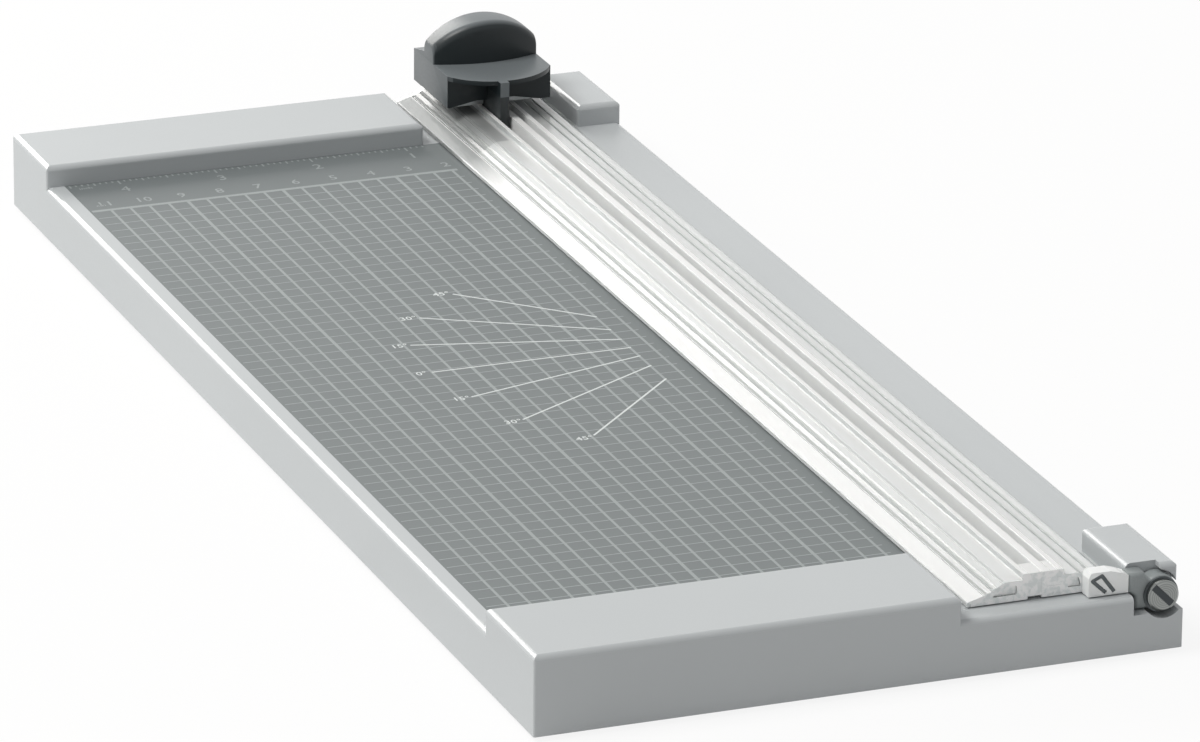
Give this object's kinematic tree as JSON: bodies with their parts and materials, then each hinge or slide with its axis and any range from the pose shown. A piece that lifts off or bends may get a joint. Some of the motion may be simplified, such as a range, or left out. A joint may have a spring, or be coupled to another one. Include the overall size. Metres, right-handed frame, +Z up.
{
  "type": "rotary paper trimmer",
  "caption": "Rotary paper trimmer: printed bed between two raised bars, clear clamping rail on a side hinge, and a sliding cutter head with a round blade.",
  "frame": {"origin": "under the middle of the whole object, on the plane that its rubber feet stand on", "axes": "+X to the hinge side, +Y along the rail towards the parked cutter head, +Z up"},
  "size_m": [0.1536, 0.3798, 0.0415],
  "materials": {
    "grey_shell": "satin moulded plastic",
    "grey_plate": "matt moulded plastic",
    "screw_steel": "zinc plated",
    "foot_rubber": "matt",
    "bed_print": "printed sheet, satin",
    "mat_plastic": "soft plastic, matt",
    "insert_brass": "turned",
    "pin_steel": "turned, satin",
    "dark_plastic": "matt",
    "clear_plastic": "clear moulded plastic, polished",
    "cap_plastic": "clear moulded plastic, polished",
    "lug_plastic": "satin",
    "clip_steel": "blued",
    "soft_strip": "soft, matt",
    "carriage_steel": "pressed sheet",
    "white_plastic": "self-lubricating, matt",
    "head_plastic": "fine grained, satin",
    "carrier_plastic": "satin",
    "spring_steel": "bright wire",
    "axle_steel": "ground",
    "blade_steel": "ground"
  },
  "bodies": {
    "base": {"base_shell": "grey_shell", "bottom_plate": "grey_plate", "plate_screws": "screw_steel", "rubber_feet": "foot_rubber", "bed_board": "bed_print", "cutting_mat": "mat_plastic", "hinge_insert_front": "insert_brass", "hinge_insert_rear": "insert_brass", "hinge_pin_front": "pin_steel", "hinge_pin_rear": "pin_steel", "hinge_washer_front": "dark_plastic", "hinge_washer_rear": "dark_plastic"},
    "rail": {"clear_rail": "clear_plastic", "end_cap_front": "cap_plastic", "end_cap_rear": "cap_plastic", "hinge_lug_front": "lug_plastic", "hinge_lug_rear": "lug_plastic", "cap_clip_front": "clip_steel", "cap_clip_rear": "clip_steel", "clamp_strip_left": "soft_strip", "clamp_strip_right": "soft_strip"},
    "carriage": {"slide_carriage": "carriage_steel", "glide_pads": "white_plastic", "guide_shoe": "white_plastic"},
    "head": {"head_shell": "head_plastic", "blade_carrier": "carrier_plastic", "press_springs": "spring_steel", "shoulder_screws": "screw_steel", "carrier_screws": "screw_steel", "blade_axle": "axle_steel"},
    "blade": {"rotary_blade": "blade_steel", "blade_bush": "white_plastic"}
  },
  "joints": [
    {"name": "rail_hinge", "type": "hinge", "parent": "base", "child": "rail", "pos_m": [0.07205, 0, 0.0137], "axis": [0, 1, 0], "range_deg": [0, 38]},
    {"name": "head_slide", "type": "slide", "parent": "rail", "child": "carriage", "axis": [0, -1, 0], "range_m": [0, 0.322]},
    {"name": "head_press", "type": "slide", "parent": "carriage", "child": "head", "axis": [0, 0, -1], "range_m": [0, 0.0009], "stiffness_N_per_m": 900, "springref_m": -0.001, "deforming": ["press_springs"]},
    {"name": "blade_spin", "type": "hinge", "parent": "head", "child": "blade", "pos_m": [0.04325, 0.17335, 0.0227], "axis": [1, 0, 0], "continuous": true}
  ],
  "couplings": [
    {"joint": "blade_spin", "follows": "head_slide", "rad_per_m": 133.33}
  ]
}
